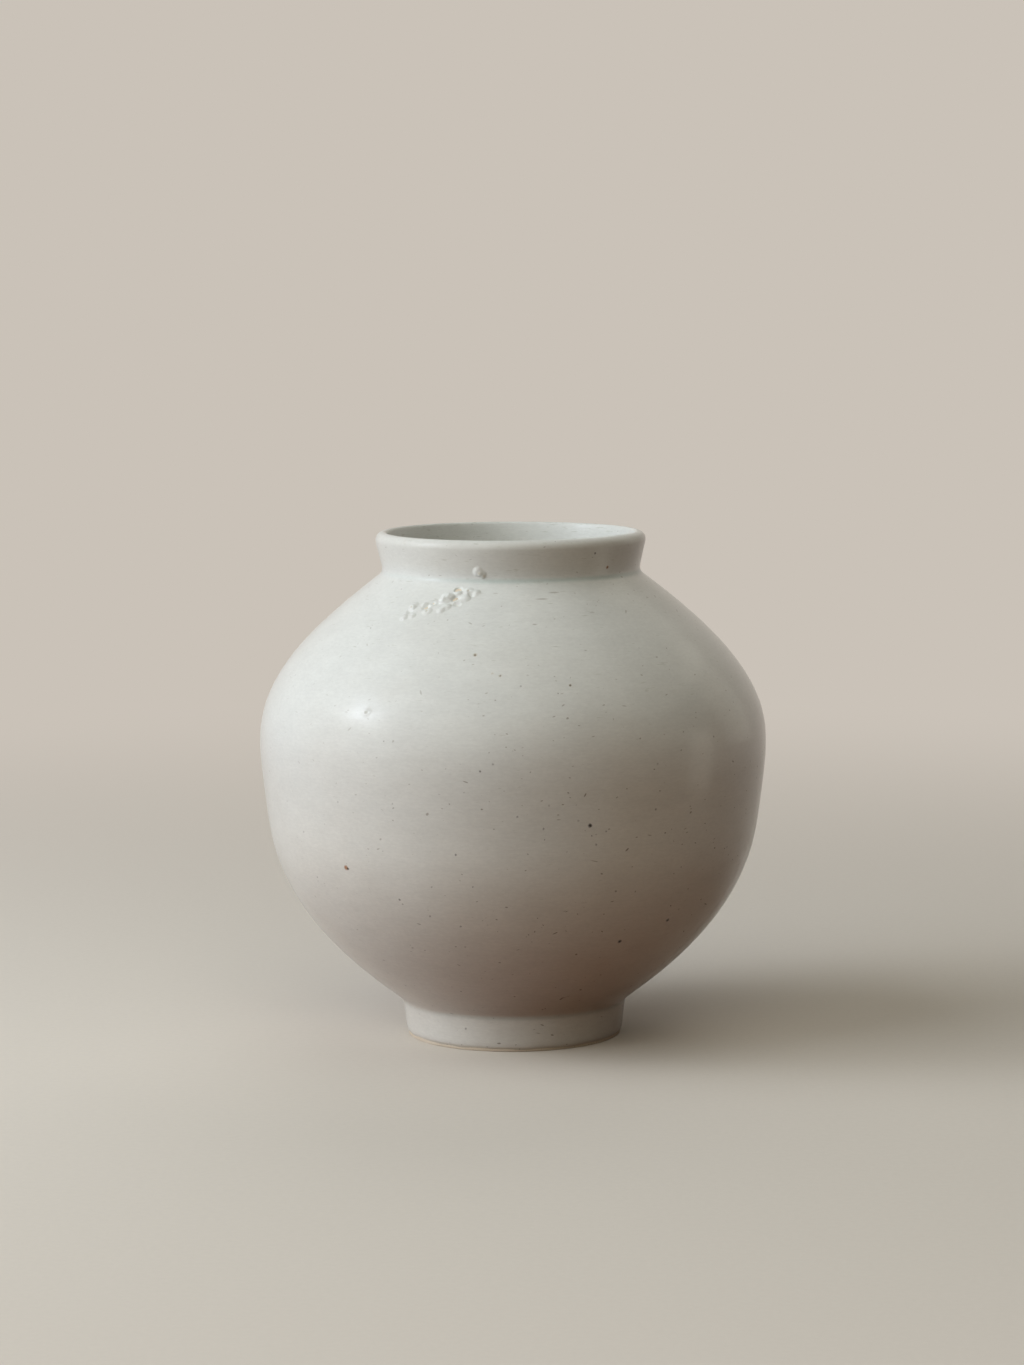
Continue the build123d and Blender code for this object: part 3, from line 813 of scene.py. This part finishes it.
# A window to the left with soft light through a scrim, and fill from the front, overhead and behind. These
# light the jar, and dim cards that show only in the glaze stand for the window and room that it mirrors.
# Degrees round from the front and up, metres away, watts, metres wide and high.
lamps = [
    {"name": "window", "around": -80, "up": 31, "away": 1.5, "power": 3.2, "sides": (0.5, 0.4),
     "shows": "lit", "colour": "#F5FAFF"},
    {"name": "windowBlind", "around": -78.5, "up": 31, "away": 1.45, "power": 0.90, "sides": (0.5, 0.4),
     "shows": "glaze", "colour": "#E9F2FF"},
    {"name": "windowPane", "around": -78.5, "up": 31, "away": 1.40, "power": 0.85, "sides": (0.24, 0.2),
     "shows": "glaze", "colour": "#E9F2FF"},
    {"name": "scrim", "around": -74, "up": 25, "away": 1.6, "power": 27.0, "sides": (1.6, 2.4),
     "shows": "lit", "colour": "#F5FAFF"},
    {"name": "sill", "around": -78, "up": 7, "away": 1.3, "power": 3.3, "sides": (0.9, 0.25),
     "shows": "lit", "colour": "#F3F9FF"},
    {"name": "front", "around": -6, "up": 34, "away": 2.4, "power": 11.6, "sides": (1.8, 1.4),
     "shows": "lit", "colour": "#FBF3DC"},
    {"name": "overhead", "around": 40, "up": 72, "away": 2.2, "power": 6.8, "sides": (2.0, 2.0),
     "shows": "both", "colour": "#FBF9EC"},
    {"name": "behind", "around": 172, "up": 38, "away": 2.4, "power": 11, "sides": (1.8, 1.4),
     "shows": "lit", "colour": "#FBF9F2"},
    {"name": "roomWall", "around": 122, "up": 16, "away": 1.8, "power": 1.0, "sides": (0.77, 1.31),
     "shows": "glaze", "colour": "#FBF8E9"},
    {"name": "ceiling", "around": 100, "up": 46, "away": 1.8, "power": 2.4, "sides": (2.6, 0.9),
     "shows": "glaze", "colour": "#FBF8E9"},
    {"name": "doorway", "around": 84, "up": -1, "away": 0.42, "power": 0.035, "sides": (0.1, 0.2),
     "shows": "glaze", "colour": "#FBF8E9"},
]
aim = Vector((0, 0, 0.11))
for look in lamps:
    angle = math.radians(look["around"])
    rising = math.radians(look["up"])
    way = Vector((math.sin(angle) * math.cos(rising), -math.cos(angle) * math.cos(rising), math.sin(rising)))
    bpy.ops.object.light_add(type="AREA", location=aim + way * look["away"])
    lamp = bpy.context.object
    lamp.name = look["name"]
    lamp.data.shape = "RECTANGLE"
    lamp.data.size, lamp.data.size_y = look["sides"]
    lamp.data.energy = look["power"]
    lamp.data.color = linear(look["colour"])[:3]
    lamp.rotation_euler = (-way).to_track_quat("-Z", "Y").to_euler()
    lamp.visible_glossy = look["shows"] != "lit"
    lamp.visible_diffuse = look["shows"] != "glaze"
room = emptied(bpy.data.worlds.new("room"))
bpy.context.scene.world = room
air = addNode(room, "Background", {"Color": linear(stage["room"]), "Strength": stage["roomStrength"]})
view = addNode(room, "Background", {"Color": linear(stage["backdrop"]), "Strength": 1})
mixed = addNode(room, "MixShader", {0: seenIn(room), 1: air.outputs[0], 2: view.outputs[0]})
addNode(room, "OutputWorld", {"Surface": mixed.outputs[0]})
bpy.context.scene.view_settings.view_transform = "Standard"

# long lens, above the top of the jar and tipped down on it
cameraLook = {
    "place": (-0.16 * mm, -1.5643, 0.31774),
    "lens": 105,
    "sensor": 36,
    "tip": 83.5116,           # degrees up from straight down
    "roll": -0.35,
}
bpy.ops.object.camera_add(location=cameraLook["place"])
camera = bpy.context.object
camera.data.lens = cameraLook["lens"]
camera.data.sensor_width = cameraLook["sensor"]
tipped = Matrix.Rotation(math.radians(cameraLook["tip"]), 4, "X")
rolled = Matrix.Rotation(math.radians(cameraLook["roll"]), 4, "Z")
camera.rotation_euler = (tipped @ rolled).to_euler()
bpy.context.scene.camera = camera
print("stage, lights and camera set")
